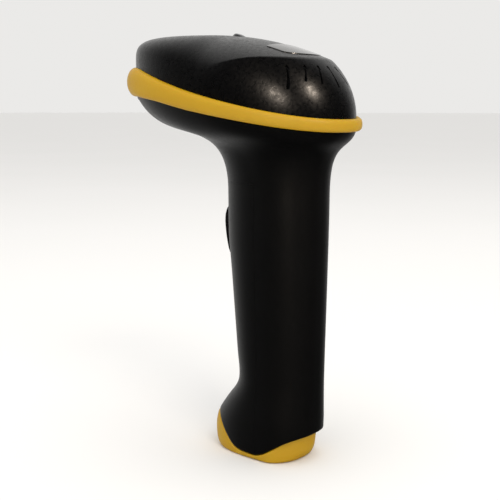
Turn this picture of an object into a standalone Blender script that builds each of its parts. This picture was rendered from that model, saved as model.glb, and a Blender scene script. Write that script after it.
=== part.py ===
"""Cordless pistol-grip barcode scanner, as an assembly of separate pieces.

Frame: metres, +Z up, the scan window looks along -Y, and the left and right sides mirror
each other about X = 0. The origin is the middle of the flat butt face that it stands on.
Lengths below are in millimetres and go through MM once, where a mesh is made. Inside the
shape formulas "ahead" is the distance towards the nose, which is -Y.
"""
import math

import bmesh
import bpy
import numpy as np
from mathutils import Vector
from mathutils.bvhtree import BVHTree

MM = 0.001
GAP = 0.3                      # clearance between neighbouring pieces
WALL = 2.2                     # moulded wall thickness

# Head, seen from above: two half super-ellipses that meet at HEAD_MID
HEAD_MID = 20.0                # ahead of the origin
HEAD_NOSE = 69.0
HEAD_REAR = -32.0
HEAD_HALF = 32.0
NOSE_POWER = 3.0
REAR_POWER = 2.3

# Bumper band, which climbs from the rear to the nose
BAND_REAR_Z = 142.8
BAND_CLIMB = 19.9
BAND_REAR_HEIGHT = 5.2
BAND_EXTRA_HEIGHT = 6.4
BAND_REAR_PROUD = 2.6
BAND_EXTRA_PROUD = 0.8
MOUTH_HALF = 22.2              # the band stops at the window bezel

# Roof
ROOF_Z = 181.0
ROOF_FALL_FROM = 34.0          # it is level ahead of this point and falls behind it
ROOF_FALL = 0.0110
ROOF_FALL_POWER = 1.7
ROOF_CROWN = 1 / 600.0         # per mm
DOME_POWER_REAR = 3.0
DOME_POWER_NOSE = 4.8

# Handle sections: height, reach ahead, reach behind, half width
HANDLE = (
    (0.0, 28.0, -16.2, 15.1), (2.0, 29.6, -17.9, 15.6), (5.0, 30.8, -18.7, 15.9),
    (8.0, 31.3, -19.0, 16.1), (12.0, 30.8, -19.2, 16.2), (16.0, 29.4, -19.4, 16.3),
    (20.0, 26.6, -19.5, 16.0), (25.0, 22.6, -19.6, 15.6), (29.0, 18.9, -19.7, 15.3),
    (33.0, 16.6, -19.8, 15.1), (38.0, 16.5, -19.9, 15.1), (45.0, 17.6, -20.0, 15.2),
    (60.0, 19.0, -20.3, 15.5), (80.0, 20.8, -20.6, 16.0), (95.0, 22.4, -20.8, 16.4),
    (105.0, 22.6, -20.9, 16.6), (118.0, 22.6, -20.9, 16.8),
)
HANDLE_POWER = 2.6
NECK_Z = 112.0                 # the handle starts to open into the head here
SPLIT_AHEAD = 1.0              # the front grip shell meets the rear body on this plane
SPLIT_TOP = 119.0

# Butt boot: its upper edge is low at the sides, and climbs to the toe and to the heel
BOOT_RIM = 1.9
BOOT_FLOOR = 1.6
TOE_START = 16.0
TOE_SLOPE = 0.85
HEEL_RISE = 9.2
HEEL_INSET = 3.3
LEDGE = 1.7                    # the handle wall is thicker just above the heel

# Trigger and switch
PIVOT_AHEAD = 16.0
PIVOT_Z = 114.0
TRIGGER_HALF = 7.0
TRIGGER_SLOT = (86.0, 109.2)   # lowest and highest point of the opening
PIN_RADIUS = 1.25
SWITCH_Z = 99.0
SWITCH_AHEAD = 11.2
RIB_REACH = 1.6                # from the pivot to the rib that presses the switch
PLUNGER_LENGTH = 4.0

# Scan window
WINDOW_Z = 164.2
BEZEL_HALF = 20.6
BEZEL_HALF_HEIGHT = 10.8
WINDOW_HALF = 17.0
WINDOW_HALF_HEIGHT = 8.0

# Rear slots over the beeper
SLOT_PITCH = 6.55
SLOT_WIDTH = 1.3
SLOT_LENGTHS = (10.0, 7.5, 7.5, 10.0)    # from the middle slot outwards

# Roof furniture
LAMP_AHEAD = 22.0
LAMP_RADIUS = 3.1
LABEL_HALF = 15.8
LABEL_ALONG = (-15.5, -2.5)

# Battery and boards
BOARD_Z = 154.0
CELL_RADIUS = 9.2
CELL_LENGTH = 65.0
CELL_LOW = 19.5
CELL_AHEAD = -5.5
PORT_SIZE = (14.0, 5.0)
PORT_AHEAD = 9.0

# Screws
GRIP_SCREWS = (70.0, 42.0)               # heights on the front of the grip
HEAD_SCREWS = ((15.0, 33.0), (-15.0, 33.0))   # side, ahead
BOOT_SCREW_AHEAD = -7.0
SHANK = 0.95
POST_LOW = 156.5               # foot of the screw posts in the head
POST_RADIUS = 2.7
SEAT_DEPTH = 1.3               # screw heads sit this far below the shell
HEAD_HEIGHT = 1.2

SLOT_LEAN = math.radians(30)
FORWARD = (math.pi / 2, 0, 0)  # turns local +Z to the nose
SIDEWAYS = (0, math.pi / 2, 0)

TURN = 40                      # facets round the head and the handle


# ---------------------------------------------------------------- shape formulas
def plan_radius(angle, ahead, behind, half, power_ahead, power_behind):
    """Distance from the middle to a super-ellipse with unlike front and rear halves."""
    c, s = np.cos(angle), np.sin(angle)
    reach = np.where(c > 0, ahead, behind)
    power = np.where(c > 0, power_ahead, power_behind)
    return (np.abs(c / reach) ** power + np.abs(s / half) ** power) ** (-1 / power)


def head_radius(angle, grow=0.0):
    return plan_radius(angle, HEAD_NOSE - HEAD_MID + grow, HEAD_MID - HEAD_REAR + grow,
                       HEAD_HALF + grow, NOSE_POWER, REAR_POWER)


def along_head(ahead):
    """0 at the rear of the head and 1 at its nose."""
    return np.clip((ahead - HEAD_REAR) / (HEAD_NOSE - HEAD_REAR), 0, 1)


def band_middle(ahead):
    return BAND_REAR_Z + BAND_CLIMB * along_head(ahead) ** 1.15


def band_half(ahead):
    return (BAND_REAR_HEIGHT + BAND_EXTRA_HEIGHT * along_head(ahead) ** 1.6) / 2


def roof_height(ahead, side):
    fall = np.clip(ROOF_FALL_FROM - ahead, 0, None)
    return ROOF_Z - ROOF_FALL * fall ** ROOF_FALL_POWER - ROOF_CROWN * side ** 2


def dome_power(angle):
    return DOME_POWER_REAR + (DOME_POWER_NOSE - DOME_POWER_REAR) * (1 + np.cos(angle)) / 2


def dome_rim(angle):
    ahead = HEAD_MID + head_radius(angle) * np.cos(angle)
    return band_middle(ahead) + band_half(ahead) + GAP / 2


def dome_height(side, ahead):
    """Height of the upper shell's outer face above a point."""
    angle = np.arctan2(side, ahead - HEAD_MID)
    share = np.hypot(side, ahead - HEAD_MID) / head_radius(angle)
    power = dome_power(angle)
    rim = dome_rim(angle)
    climb = np.clip(1 - share ** power, 0, 1) ** (1 / power)
    return rim + (roof_height(ahead, side) - rim) * climb


def handle_radius(angle, height, grow=0.0):
    z, ahead, behind, half = np.array(HANDLE).T
    return plan_radius(angle, np.interp(height, z, ahead) + grow,
                       -np.interp(height, z, behind) + grow,
                       np.interp(height, z, half) + grow, HANDLE_POWER, HANDLE_POWER)


def boot_line(ahead):
    """Height of the wavy joint between the handle and the butt boot."""
    toe = ahead - TOE_START
    heel = np.clip((TOE_START - ahead) / 32.0, 0, 1)
    return BOOT_RIM + TOE_SLOPE * (toe + np.sqrt(toe ** 2 + 4.0)) / 2 + HEEL_RISE * heel ** 1.8


def heel_weight(angle):
    """0 round the front and sides of the handle, growing to 1 at the middle of its rear."""
    return np.clip(-np.cos(angle), 0, 1) ** 1.5


def boot_radius(angle, height):
    return handle_radius(angle, height) - HEEL_INSET * heel_weight(angle)


def polar(radius, angle, height, middle=0.0):
    """Points from a radius and an angle that is 0 at the nose, as X, Y, Z."""
    return np.stack(np.broadcast_arrays(radius * np.sin(angle),
                                        -(middle + radius * np.cos(angle)), height), -1)


def angles(count=TURN):
    return np.arange(count) * 2 * math.pi / count


# ---------------------------------------------------------------- mesh helpers
def new_collection(name):
    made = bpy.data.collections.new(name)
    bpy.context.scene.collection.children.link(made)
    return made


def material(name, colour, roughness, metallic=0.0, alpha=1.0):
    made = bpy.data.materials.new(name)
    made.use_nodes = True
    shader = made.node_tree.nodes["Principled BSDF"]
    shader.inputs["Base Color"].default_value = (*colour, 1.0)
    shader.inputs["Roughness"].default_value = roughness
    shader.inputs["Metallic"].default_value = metallic
    shader.inputs["Alpha"].default_value = alpha
    return made


def place(name, mesh, finish, location=(0, 0, 0), rotation=(0, 0, 0), parent=None):
    """Link a mesh as a named sub-part; its location is in millimetres."""
    made = bpy.data.objects.new(name, mesh)
    if finish is None:
        CUTTERS.objects.link(made)
        made.hide_render = True
        made.display_type = "WIRE"
    else:
        SCANNER.objects.link(made)
        mesh.materials.clear()
        mesh.materials.append(finish)
        made.parent = parent
    made.location = Vector(location) * MM
    made.rotation_euler = rotation
    return made


def finish_mesh(name, bm, sharp_deg=35):
    bmesh.ops.recalc_face_normals(bm, faces=bm.faces)
    mesh = bpy.data.meshes.new(name)
    bm.to_mesh(mesh)
    bm.free()
    mesh.shade_smooth()
    mesh.set_sharp_from_angle(angle=math.radians(sharp_deg))
    return mesh


def loft(name, rings, ends="caps", closed=True):
    """Skin a stack of rings, given in mm.

    ends is "caps" for a face on the first and last ring, "poles" where those rings have
    shrunk to a point, or "wrap" where the last ring joins the first again.
    """
    bm = bmesh.new()
    rows = []
    for number, ring in enumerate(rings):
        pole = ends == "poles" and number in (0, len(rings) - 1)
        points = [ring[0]] * len(ring) if pole else ring
        verts = [bm.verts.new([float(v) * MM for v in point])
                 for point in (points[:1] if pole else points)]
        rows.append(verts * len(ring) if pole else verts)
    pairs = list(zip(rows, rows[1:]))
    if ends == "wrap":
        pairs.append((rows[-1], rows[0]))
    for low, high in pairs:
        count = len(low)
        for i in range(count if closed else count - 1):
            k = (i + 1) % count
            corners = []
            for vert in (low[i], low[k], high[k], high[i]):
                if vert not in corners:
                    corners.append(vert)
            bm.faces.new(corners)
    if ends == "caps":
        bm.faces.new(rows[0])
        bm.faces.new(list(reversed(rows[-1])))
    return finish_mesh(name, bm)


def box_mesh(name, size, bevel=0.0):
    bm = bmesh.new()
    bmesh.ops.create_cube(bm, size=1.0)
    bmesh.ops.scale(bm, vec=Vector(size) * MM, verts=bm.verts)
    if bevel:
        bmesh.ops.bevel(bm, geom=bm.edges[:], offset=bevel * MM, segments=2, profile=0.5,
                        affect="EDGES")
    return finish_mesh(name, bm)


def rod_mesh(name, radius, length, sides=20, tip=None):
    """Round bar along local Z, centred; tip is the radius of the +Z end if it differs."""
    bm = bmesh.new()
    bmesh.ops.create_cone(bm, cap_ends=True, segments=sides, radius1=radius * MM,
                          radius2=(radius if tip is None else tip) * MM, depth=length * MM)
    return finish_mesh(name, bm)


def turned(name, profile, finish, location, rotation=(0, 0, 0), steps=24, parent=None):
    """Turn an outline of (radius, height) pairs in mm about local Z.

    The outline runs from the top of the axis down its outer side to the bottom.
    """
    mesh = bpy.data.meshes.new(name)
    points = [(r * MM, 0.0, z * MM) for r, z in profile]
    edges = [(i, i + 1) for i in range(len(points) - 1)]
    if profile[0] == profile[-1]:
        points.pop()
        edges[-1] = (len(points) - 1, 0)
    mesh.from_pydata(points, edges, [])
    mesh.shade_smooth()
    made = place(name, mesh, finish, location, rotation, parent)
    spin = made.modifiers.new("Turn", "SCREW")
    spin.angle = 2 * math.pi
    spin.steps = steps
    spin.render_steps = steps
    spin.use_merge_vertices = True
    spin.merge_threshold = 1e-5
    return made


def screw(name, location, rotation, length, head_height=None, head_radius=2.2):
    """Pan-head screw whose drive face is at its origin and whose tip is on local -Z."""
    head = HEAD_HEIGHT if head_height is None else head_height
    profile = [(0, 0), (head_radius * 0.8, 0), (head_radius, -head * 0.4), (head_radius, -head),
               (SHANK, -head), (SHANK, 0.8 - length), (0.3, -length), (0, -length)]
    turned(name, profile, STEEL, location, rotation, 16)


def wire(name, points, radius, finish, location, rotation=(0, 0, 0)):
    """Round wire along points in mm, as a bevelled poly curve."""
    curve = bpy.data.curves.new(name, "CURVE")
    curve.dimensions = "3D"
    curve.bevel_depth = radius * MM
    curve.bevel_resolution = 2
    curve.use_fill_caps = True
    spline = curve.splines.new("POLY")
    spline.points.add(len(points) - 1)
    for number, point in enumerate(points):
        spline.points[number].co = (*[v * MM for v in point], 1.0)
    curve.materials.append(finish)
    made = bpy.data.objects.new(name, curve)
    SCANNER.objects.link(made)
    made.location = Vector(location) * MM
    made.rotation_euler = rotation
    return made


def coil(low_radius, high_radius, height, turns, per_turn=12):
    """Points of a helix that may be conical."""
    points = []
    for i in range(turns * per_turn + 1):
        share = i / (turns * per_turn)
        radius = low_radius + (high_radius - low_radius) * share
        turn = 2 * math.pi * turns * share
        points.append((radius * math.cos(turn), radius * math.sin(turn), height * share))
    return points


def extruded(name, outline, half_width):
    """Solid of a side outline of (ahead, height) points in mm, its width along X."""
    bm = bmesh.new()
    sides = []
    for x in (-half_width, half_width):
        sides.append([bm.verts.new((x * MM, -a * MM, z * MM)) for a, z in outline])
    count = len(outline)
    for i in range(count):
        k = (i + 1) % count
        bm.faces.new((sides[0][i], sides[0][k], sides[1][k], sides[1][i]))
    bm.faces.new(sides[0])
    bm.faces.new(list(reversed(sides[1])))
    return finish_mesh(name, bm)


def boolean(target, cutter, operation="DIFFERENCE"):
    cut = target.modifiers.new(cutter.name, "BOOLEAN")
    cut.operation = operation
    cut.solver = "EXACT"
    cut.object = cutter


def arc(middle, radius, start_deg, end_deg, count):
    """Points of a circular arc, (ahead, height)."""
    turn = [math.radians(start_deg + (end_deg - start_deg) * i / (count - 1))
            for i in range(count)]
    return [(middle[0] + radius * math.cos(t), middle[1] + radius * math.sin(t)) for t in turn]


# ---------------------------------------------------------------- casing
def dome_rings(inset, levels):
    """Rings of the upper shell from its rim to its crown, moved in by the wall."""
    angle = angles()
    radius = head_radius(angle, -inset)
    rim = dome_rim(angle)
    power = dome_power(angle)
    rings = []
    for level in np.linspace(0, math.pi / 2, levels):
        shrink = math.cos(level) ** (2 / power) if level < math.pi / 2 else 0 * power
        climb = math.sin(level) ** (2 / power)
        reach = radius * shrink
        roof = roof_height(HEAD_MID + reach * np.cos(angle), reach * np.sin(angle)) - inset
        rings.append(polar(reach, angle, rim + (roof - rim) * climb, HEAD_MID))
    return rings


def neck_rings(inset, handle_levels=13, neck_levels=8):
    """Rings from the boot line up the handle and out through the neck to the band."""
    angle = angles()
    nose = (1 + np.cos(angle)) / 2
    foot = handle_radius(angle, 6.0)
    low = boot_line(foot * np.cos(angle)) + GAP / 2
    top = NECK_Z + 3.0 * nose
    rings = []
    for step in np.linspace(0, 1, handle_levels) ** 1.3:
        height = low + (top - low) * step
        ledge = LEDGE * heel_weight(angle) * (inset > 0) * np.clip(1 - (height - low) / 6, 0, 1)
        rings.append(polar(handle_radius(angle, height, -inset) - ledge, angle, height))
    radius = head_radius(angle, -inset)
    rim_ahead = HEAD_MID + head_radius(angle) * np.cos(angle)
    rim = band_middle(rim_ahead) - band_half(rim_ahead) - GAP / 2
    start = rings[-1]
    end = polar(radius, angle, rim, HEAD_MID)
    lift = (0.88 + 0.04 * nose) * (rim - top)
    bend = start + np.stack([0 * lift, 0 * lift, lift], -1)
    tuck = 0.05 - 0.01 * nose
    belly = polar(radius * (1 - tuck), angle, rim - 8.0 - 10.0 * nose, HEAD_MID)
    for step in np.linspace(0, 1, neck_levels)[1:]:
        back = 1 - step
        rings.append(back ** 3 * start + 3 * back ** 2 * step * bend
                     + 3 * back * step ** 2 * belly + step ** 3 * end)
    return rings


def nose_cutter(name, clearance):
    """Rounded bar along Y that opens the nose for the window bezel."""
    size = ((BEZEL_HALF + clearance) * 2, 40.0, (BEZEL_HALF_HEIGHT + clearance) * 2)
    return place(name, box_mesh(name, size, bevel=3.0), None, (0, -HEAD_NOSE, WINDOW_Z))


def post(name, side, ahead, low, high, radius):
    """Upright round post between two heights, for joining to a shell."""
    return place(name, rod_mesh(name, radius, high - low, 14), None,
                 (side, -ahead, (low + high) / 2))


def make_top_cover():
    rings = dome_rings(0.0, 12)[::-1] + dome_rings(WALL, 9)
    cover = place("top_cover", loft("top_cover", rings, "poles"), BLACK)
    for number, (side, ahead) in enumerate(HEAD_SCREWS, 1):
        outer_edge = side + math.copysign(POST_RADIUS, side)
        high = float(dome_height(outer_edge, ahead)) - WALL / 2
        name = f"head_post_{number}"
        boolean(cover, post(name, side, ahead, POST_LOW, high, POST_RADIUS), "UNION")
        name = f"head_bore_{number}"
        boolean(cover, post(name, side, ahead, POST_LOW - 2, POST_LOW + 8, SHANK + GAP))
    boolean(cover, nose_cutter("mouth_above", GAP))
    count = len(SLOT_LENGTHS)
    for number in range(1 - count, count):
        length = SLOT_LENGTHS[abs(number)]
        side = number * SLOT_PITCH
        behind = 23.4 - side * side / 62.0
        name = f"slot_{number + count}"
        slot = place(name, box_mesh(name, (SLOT_WIDTH, 9.0, length)), None,
                     (side, behind, 166.0 - length * 0.42), (SLOT_LEAN, 0, 0))
        boolean(cover, slot)
    boolean(cover, post("lamp_hole", 0, LAMP_AHEAD, ROOF_Z - 8, ROOF_Z + 4, LAMP_RADIUS + GAP))
    return cover


def make_label_plate():
    """Thin blank plate that follows the roof above the beeper."""
    across = np.linspace(-LABEL_HALF, LABEL_HALF, 13)
    rings = []
    for ahead in np.linspace(*LABEL_ALONG, 6):
        low = [(x, -ahead, float(dome_height(x, ahead)) + GAP) for x in across]
        high = [(x, y, z + 0.5) for x, y, z in low[::-1]]
        rings.append(low + high)
    place("label_plate", loft("label_plate", rings), GLOSS)


def make_bumper_band():
    """A horseshoe with a bulging outer side and a tongue between the two shells."""
    bulge = np.linspace(-math.pi / 2, math.pi / 2, 7)
    turn = mouth_angle() + np.linspace(0, 2 * math.pi - 2 * mouth_angle(), TURN + 1)
    rings = []
    for angle in turn:
        base = float(head_radius(angle))
        ahead = HEAD_MID + base * math.cos(angle)
        middle = float(band_middle(ahead))
        half = float(band_half(ahead))
        proud = BAND_REAR_PROUD + BAND_EXTRA_PROUD * float(along_head(ahead))
        section = [(proud * math.cos(t) ** 0.8, half * math.sin(t)) for t in bulge]
        section[0] = (0.0, -half)
        section[-1] = (0.0, half)
        section += [(-WALL, half), (-WALL, -half)]
        rings.append([polar(base + out, angle, middle + up, HEAD_MID) for out, up in section])
    return place("bumper_band", loft("bumper_band", rings), YELLOW)


def mouth_angle():
    """Angle from the nose at which the head outline is MOUTH_HALF wide."""
    low, high = 0.0, math.pi / 2
    for _ in range(40):
        middle = (low + high) / 2
        if head_radius(middle) * math.sin(middle) < MOUTH_HALF:
            low = middle
        else:
            high = middle
    return low


def half_space(name, forward, top):
    """Block that holds everything ahead of, or behind, the handle's parting plane."""
    reach = 60.0
    low = -20.0
    return place(name, box_mesh(name, (90.0, reach, top - low)), None,
                 (0, -(forward + reach / 2), (top + low) / 2))


def hull_heights(mesh, side, ahead):
    """Heights of the lower shell's outer and inner face above a point."""
    bm = bmesh.new()
    bm.from_mesh(mesh)
    tree = BVHTree.FromBMesh(bm)
    bm.free()
    start = Vector((side, -ahead, 60.0)) * MM
    up = Vector((0, 0, 1))
    outer = tree.ray_cast(start, up)[0]
    inner = tree.ray_cast(outer + up * 1e-5, up)[0]
    return outer.z / MM, inner.z / MM


def make_handle_shells():
    rings = neck_rings(0.0) + neck_rings(WALL)[::-1]
    mesh = loft("lower_body", rings, "wrap")
    body = place("lower_body", mesh, BLACK)
    boolean(body, half_space("grip_space", SPLIT_AHEAD - GAP / 2, SPLIT_TOP))
    boolean(body, nose_cutter("mouth_below", GAP))
    for number, (side, ahead) in enumerate(HEAD_SCREWS, 1):
        outer, inner = hull_heights(mesh, side, ahead)
        seat = outer + SEAT_DEPTH
        boolean(body, post(f"head_seat_{number}", side, ahead, outer - 6, seat, 2.6))
        boolean(body, post(f"head_hole_{number}", side, ahead, seat - 1, inner + 6, SHANK + GAP))
        screw(f"head_screw_{number}", (side, -ahead, seat - GAP - HEAD_HEIGHT), (math.pi, 0, 0),
              POST_LOW + 7 - (seat - GAP - HEAD_HEIGHT))
    boss = box_mesh("boot_boss", (6.4, 9.0, 9.1))
    boolean(body, place("boot_boss", boss, None, (0, 7.5, 9.05)), "UNION")
    bridge = box_mesh("boot_bridge", (6.4, 7.6, 2.0))
    boolean(body, place("boot_bridge", bridge, None, (0, 14.4, 12.5)), "UNION")
    boolean(body, post("boot_thread", 0, BOOT_SCREW_AHEAD, 3, 20, SHANK + GAP))

    grip = place("grip_front", loft("grip_front", rings, "wrap"), GRIP)
    boolean(grip, half_space("grip_block", SPLIT_AHEAD + GAP / 2, SPLIT_TOP - GAP), "INTERSECT")
    for side in (-9.3, 9.3):
        name = f"pin_ear_{'left' if side > 0 else 'right'}"
        ear = box_mesh(name, (2.6, 6.2, 7.0))
        boolean(grip, place(name, ear, None, (side, -16.1, PIVOT_Z)), "UNION")
    pin_hole = rod_mesh("pin_hole", PIN_RADIUS + GAP, 23.0, 24)
    boolean(grip, place("pin_hole", pin_hole, None, (0, -PIVOT_AHEAD, PIVOT_Z), SIDEWAYS))
    low, high = TRIGGER_SLOT
    slot = box_mesh("trigger_slot", ((TRIGGER_HALF + 0.5) * 2, 20.0, high - low))
    boolean(grip, place("trigger_slot", slot, None, (0, -26.0, (low + high) / 2)))
    for number, height in enumerate(GRIP_SCREWS, 1):
        seat = float(handle_radius(0.0, height)) - SEAT_DEPTH
        name = f"grip_seat_{number}"
        boolean(grip, place(name, rod_mesh(name, 2.6, 8.0, 16), None, (0, -seat - 4.0, height), FORWARD))
        name = f"grip_hole_{number}"
        boolean(grip, place(name, rod_mesh(name, SHANK + GAP, 12.0, 12), None, (0, -seat, height),
                            FORWARD))
        screw(f"grip_screw_{number}", (0, -seat - GAP - HEAD_HEIGHT, height), FORWARD, 11.0)
    return body, grip


def make_butt_boot():
    angle = angles()
    foot = handle_radius(angle, 6.0)
    line = boot_line(foot * np.cos(angle)) - GAP / 2
    rings = []
    for share in (1.0, 0.67, 0.33, 0.0):
        height = 0.9 + (line - 0.9) * share
        rings.append(polar(boot_radius(angle, height), angle, height))
    rings.append(polar(boot_radius(angle, 0.9) - 0.35, angle, 0.3))
    rings.append(polar(boot_radius(angle, 0.9) - 1.1, angle, 0.0))
    inner = []
    for share in (1.0, 0.5, 0.0):
        height = BOOT_FLOOR + (line - BOOT_FLOOR) * share
        inner.append(polar(boot_radius(angle, height) - 2.6, angle, height))
    underside = [polar(0 * foot, angle, 0.0)] + rings[::-1]
    inside = inner + [polar(0 * foot, angle, BOOT_FLOOR)]
    boot = place("butt_boot", loft("butt_boot", underside + inside, "poles"), YELLOW)
    port = box_mesh("port_hole", (PORT_SIZE[0] + 2 * GAP, PORT_SIZE[1] + 2 * GAP, 12.0))
    boolean(boot, place("port_hole", port, None, (0, -PORT_AHEAD, 0)))
    boolean(boot, post("boot_hole", 0, BOOT_SCREW_AHEAD, -2, 6, SHANK + GAP))
    boolean(boot, post("boot_seat", 0, BOOT_SCREW_AHEAD, -2, 1.0, 2.3))
    screw("boot_screw", (0, -BOOT_SCREW_AHEAD, 0.1), (math.pi, 0, 0), 9.0, 0.6, 2.0)
    return boot


# ---------------------------------------------------------------- scan window and optics
def rounded_loop(half_width, half_height, corner, ahead_of, count=6):
    """Loop of a rounded rectangle in X and Z, whose Y follows ahead_of(x)."""
    points = []
    for quarter in range(4):
        sx = (1, -1, -1, 1)[quarter]
        sz = (1, 1, -1, -1)[quarter]
        for i in range(count):
            t = math.radians(90 * quarter + 90 * i / (count - 1))
            x = sx * (half_width - corner) + corner * math.cos(t)
            z = sz * (half_height - corner) + corner * math.sin(t)
            points.append((x, -ahead_of(x), WINDOW_Z + z))
    return points


def nose_surface(side):
    """How far ahead the head outline lies at a distance from its middle plane."""
    share = min(abs(side) / HEAD_HALF, 0.999)
    return HEAD_MID + (HEAD_NOSE - HEAD_MID) * (1 - share ** NOSE_POWER) ** (1 / NOSE_POWER)


def make_window_bezel():
    def back(_):
        return 58.0
    loops = [
        rounded_loop(BEZEL_HALF, BEZEL_HALF_HEIGHT, 2.7, back),
        rounded_loop(BEZEL_HALF, BEZEL_HALF_HEIGHT, 2.7, lambda x: nose_surface(x) - 0.6),
        rounded_loop(BEZEL_HALF - 0.6, BEZEL_HALF_HEIGHT - 0.6, 2.4, nose_surface),
        rounded_loop(BEZEL_HALF - 2.0, BEZEL_HALF_HEIGHT - 1.6, 2.4, nose_surface),
        rounded_loop(WINDOW_HALF, WINDOW_HALF_HEIGHT, 1.8, lambda x: 60.0),
        rounded_loop(WINDOW_HALF, WINDOW_HALF_HEIGHT, 1.8, back),
    ]
    return place("window_bezel", loft("window_bezel", loops, "wrap"), BLACK)


def flat_ring(name, outer, inner, ahead, depth, finish):
    """Flat rounded frame that faces the nose."""
    loops = []
    for size, position in ((outer, ahead), (outer, ahead - depth),
                           (inner, ahead - depth), (inner, ahead)):
        loops.append(rounded_loop(size[0], size[1], 1.6, lambda x, p=position: p))
    return place(name, loft(name, loops, "wrap"), finish)


def make_optics():
    front = 58.0 - GAP
    outer = (WINDOW_HALF + 2.0, WINDOW_HALF_HEIGHT + 1.4)
    pane = [rounded_loop(*outer, 1.6, lambda x, p=p: p) for p in (front, front - 1.5)]
    place("scan_window", loft("scan_window", pane), CLEAR)
    gasket_ahead = front - 1.5 - GAP
    inner = (WINDOW_HALF - 0.6, WINDOW_HALF_HEIGHT - 0.6)
    flat_ring("window_gasket", outer, inner, gasket_ahead, 1.2, FOAM)
    engine_front = gasket_ahead - 1.2 - GAP - 1.4
    place("engine_housing", box_mesh("engine_housing", (27.0, 12.0, 14.4), 0.5), ENGINE,
          (0, -(engine_front - 6.0), WINDOW_Z))
    nose_y = -(engine_front + GAP)
    turned("camera_lens", [(0, 1.3), (2.2, 1.5), (3.4, 1.5), (3.6, 1.2), (3.6, 0), (0, 0)], GLASS,
           (2.0, nose_y, WINDOW_Z), FORWARD)
    turned("aimer_lens", [(0, 1.1), (1.2, 0.9), (1.7, 0.4), (1.7, 0), (0, 0)], GLASS,
           (-5.2, nose_y, WINDOW_Z), FORWARD, 16)
    for name, side in (("lamp_lens_left", 10.2), ("lamp_lens_right", -10.2)):
        place(name, box_mesh(name, (3.6, 1.1, 5.0), 0.3), GLASS, (side, nose_y - 0.55, WINDOW_Z))
    place("engine_board", box_mesh("engine_board", (28.0, 1.2, 15.0)), BOARD,
          (0, -(engine_front - 12.0 - GAP - 0.6), WINDOW_Z))
    cradle = [(engine_front - 14.2, WINDOW_Z - 6.0), (engine_front - 15.4, WINDOW_Z - 6.0),
              (engine_front - 15.4, WINDOW_Z - 8.9), (engine_front - 1.0, WINDOW_Z - 8.9),
              (engine_front - 1.0, WINDOW_Z - 7.8), (engine_front - 14.2, WINDOW_Z - 7.8)]
    place("engine_bracket", extruded("engine_bracket", cradle, 11.0), STEEL)


# ---------------------------------------------------------------- electronics
def make_electronics():
    board = place("main_board", box_mesh("main_board", (40.0, 50.0, 1.6)), BOARD, (0, -12.0, BOARD_Z))
    for number, (side, ahead) in enumerate(HEAD_SCREWS, 1):
        boolean(board, post(f"board_hole_{number}", side, ahead, BOARD_Z - 3, BOARD_Z + 3, 2.0))
    top = BOARD_Z + 0.8 + GAP
    place("decoder_chip", box_mesh("decoder_chip", (12.0, 12.0, 1.4), 0.2), CHIP,
          (0, -10.5, top + 0.7))
    place("radio_module", box_mesh("radio_module", (13.0, 18.0, 2.2), 0.2), STEEL,
          (-13.0, 0.0, top + 1.1))
    turned("beeper", [(0, 4.0), (5.2, 4.0), (6.0, 3.4), (6.0, 0), (0, 0)], CHIP,
           (0, 5.5, top))
    gasket = [(3.4, 2.4), (5.4, 2.4), (5.4, 0), (3.4, 0), (3.4, 2.4)]
    turned("beeper_gasket", gasket, FOAM, (0, 5.5, top + 4.0 + GAP))
    place("status_led", box_mesh("status_led", (3.0, 3.0, 1.6), 0.2), CLEAR,
          (0, -LAMP_AHEAD, top + 0.8))
    crest = float(roof_height(LAMP_AHEAD, 0.0))
    lens = [(0, 1.5), (1.6, 1.3), (2.7, 0.7), (LAMP_RADIUS, -0.3), (LAMP_RADIUS, -3.0),
            (LAMP_RADIUS + 0.8, -3.0), (LAMP_RADIUS + 0.8, -4.0), (1.3, -4.0)]
    stem = top + 2.2 - crest
    turned("light_pipe", lens + [(1.3, stem), (0, stem)], CLEAR, (0, -LAMP_AHEAD, crest), steps=16)
    ribbon = box_mesh("handle_ribbon", (8.0, 0.4, 36.0))
    place("handle_ribbon", ribbon, RIBBON, (0, -7.0, BOARD_Z - 0.8 - GAP - 18.0))
    place("switch_board", box_mesh("switch_board", (14.0, 1.2, 24.0)), BOARD,
          (0, -(SWITCH_AHEAD - 2.5 - GAP - 0.6), SWITCH_Z + 4.0))
    switch = place("trigger_switch", box_mesh("trigger_switch", (6.5, 5.0, 9.0), 0.3), CHIP,
                   (0, -SWITCH_AHEAD, SWITCH_Z))
    socket = rod_mesh("plunger_socket", 1.1 + GAP, 6.0, 16)
    boolean(switch, place("plunger_socket", socket, None, (0, -SWITCH_AHEAD - 3.2, SWITCH_Z),
                          FORWARD))


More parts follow.
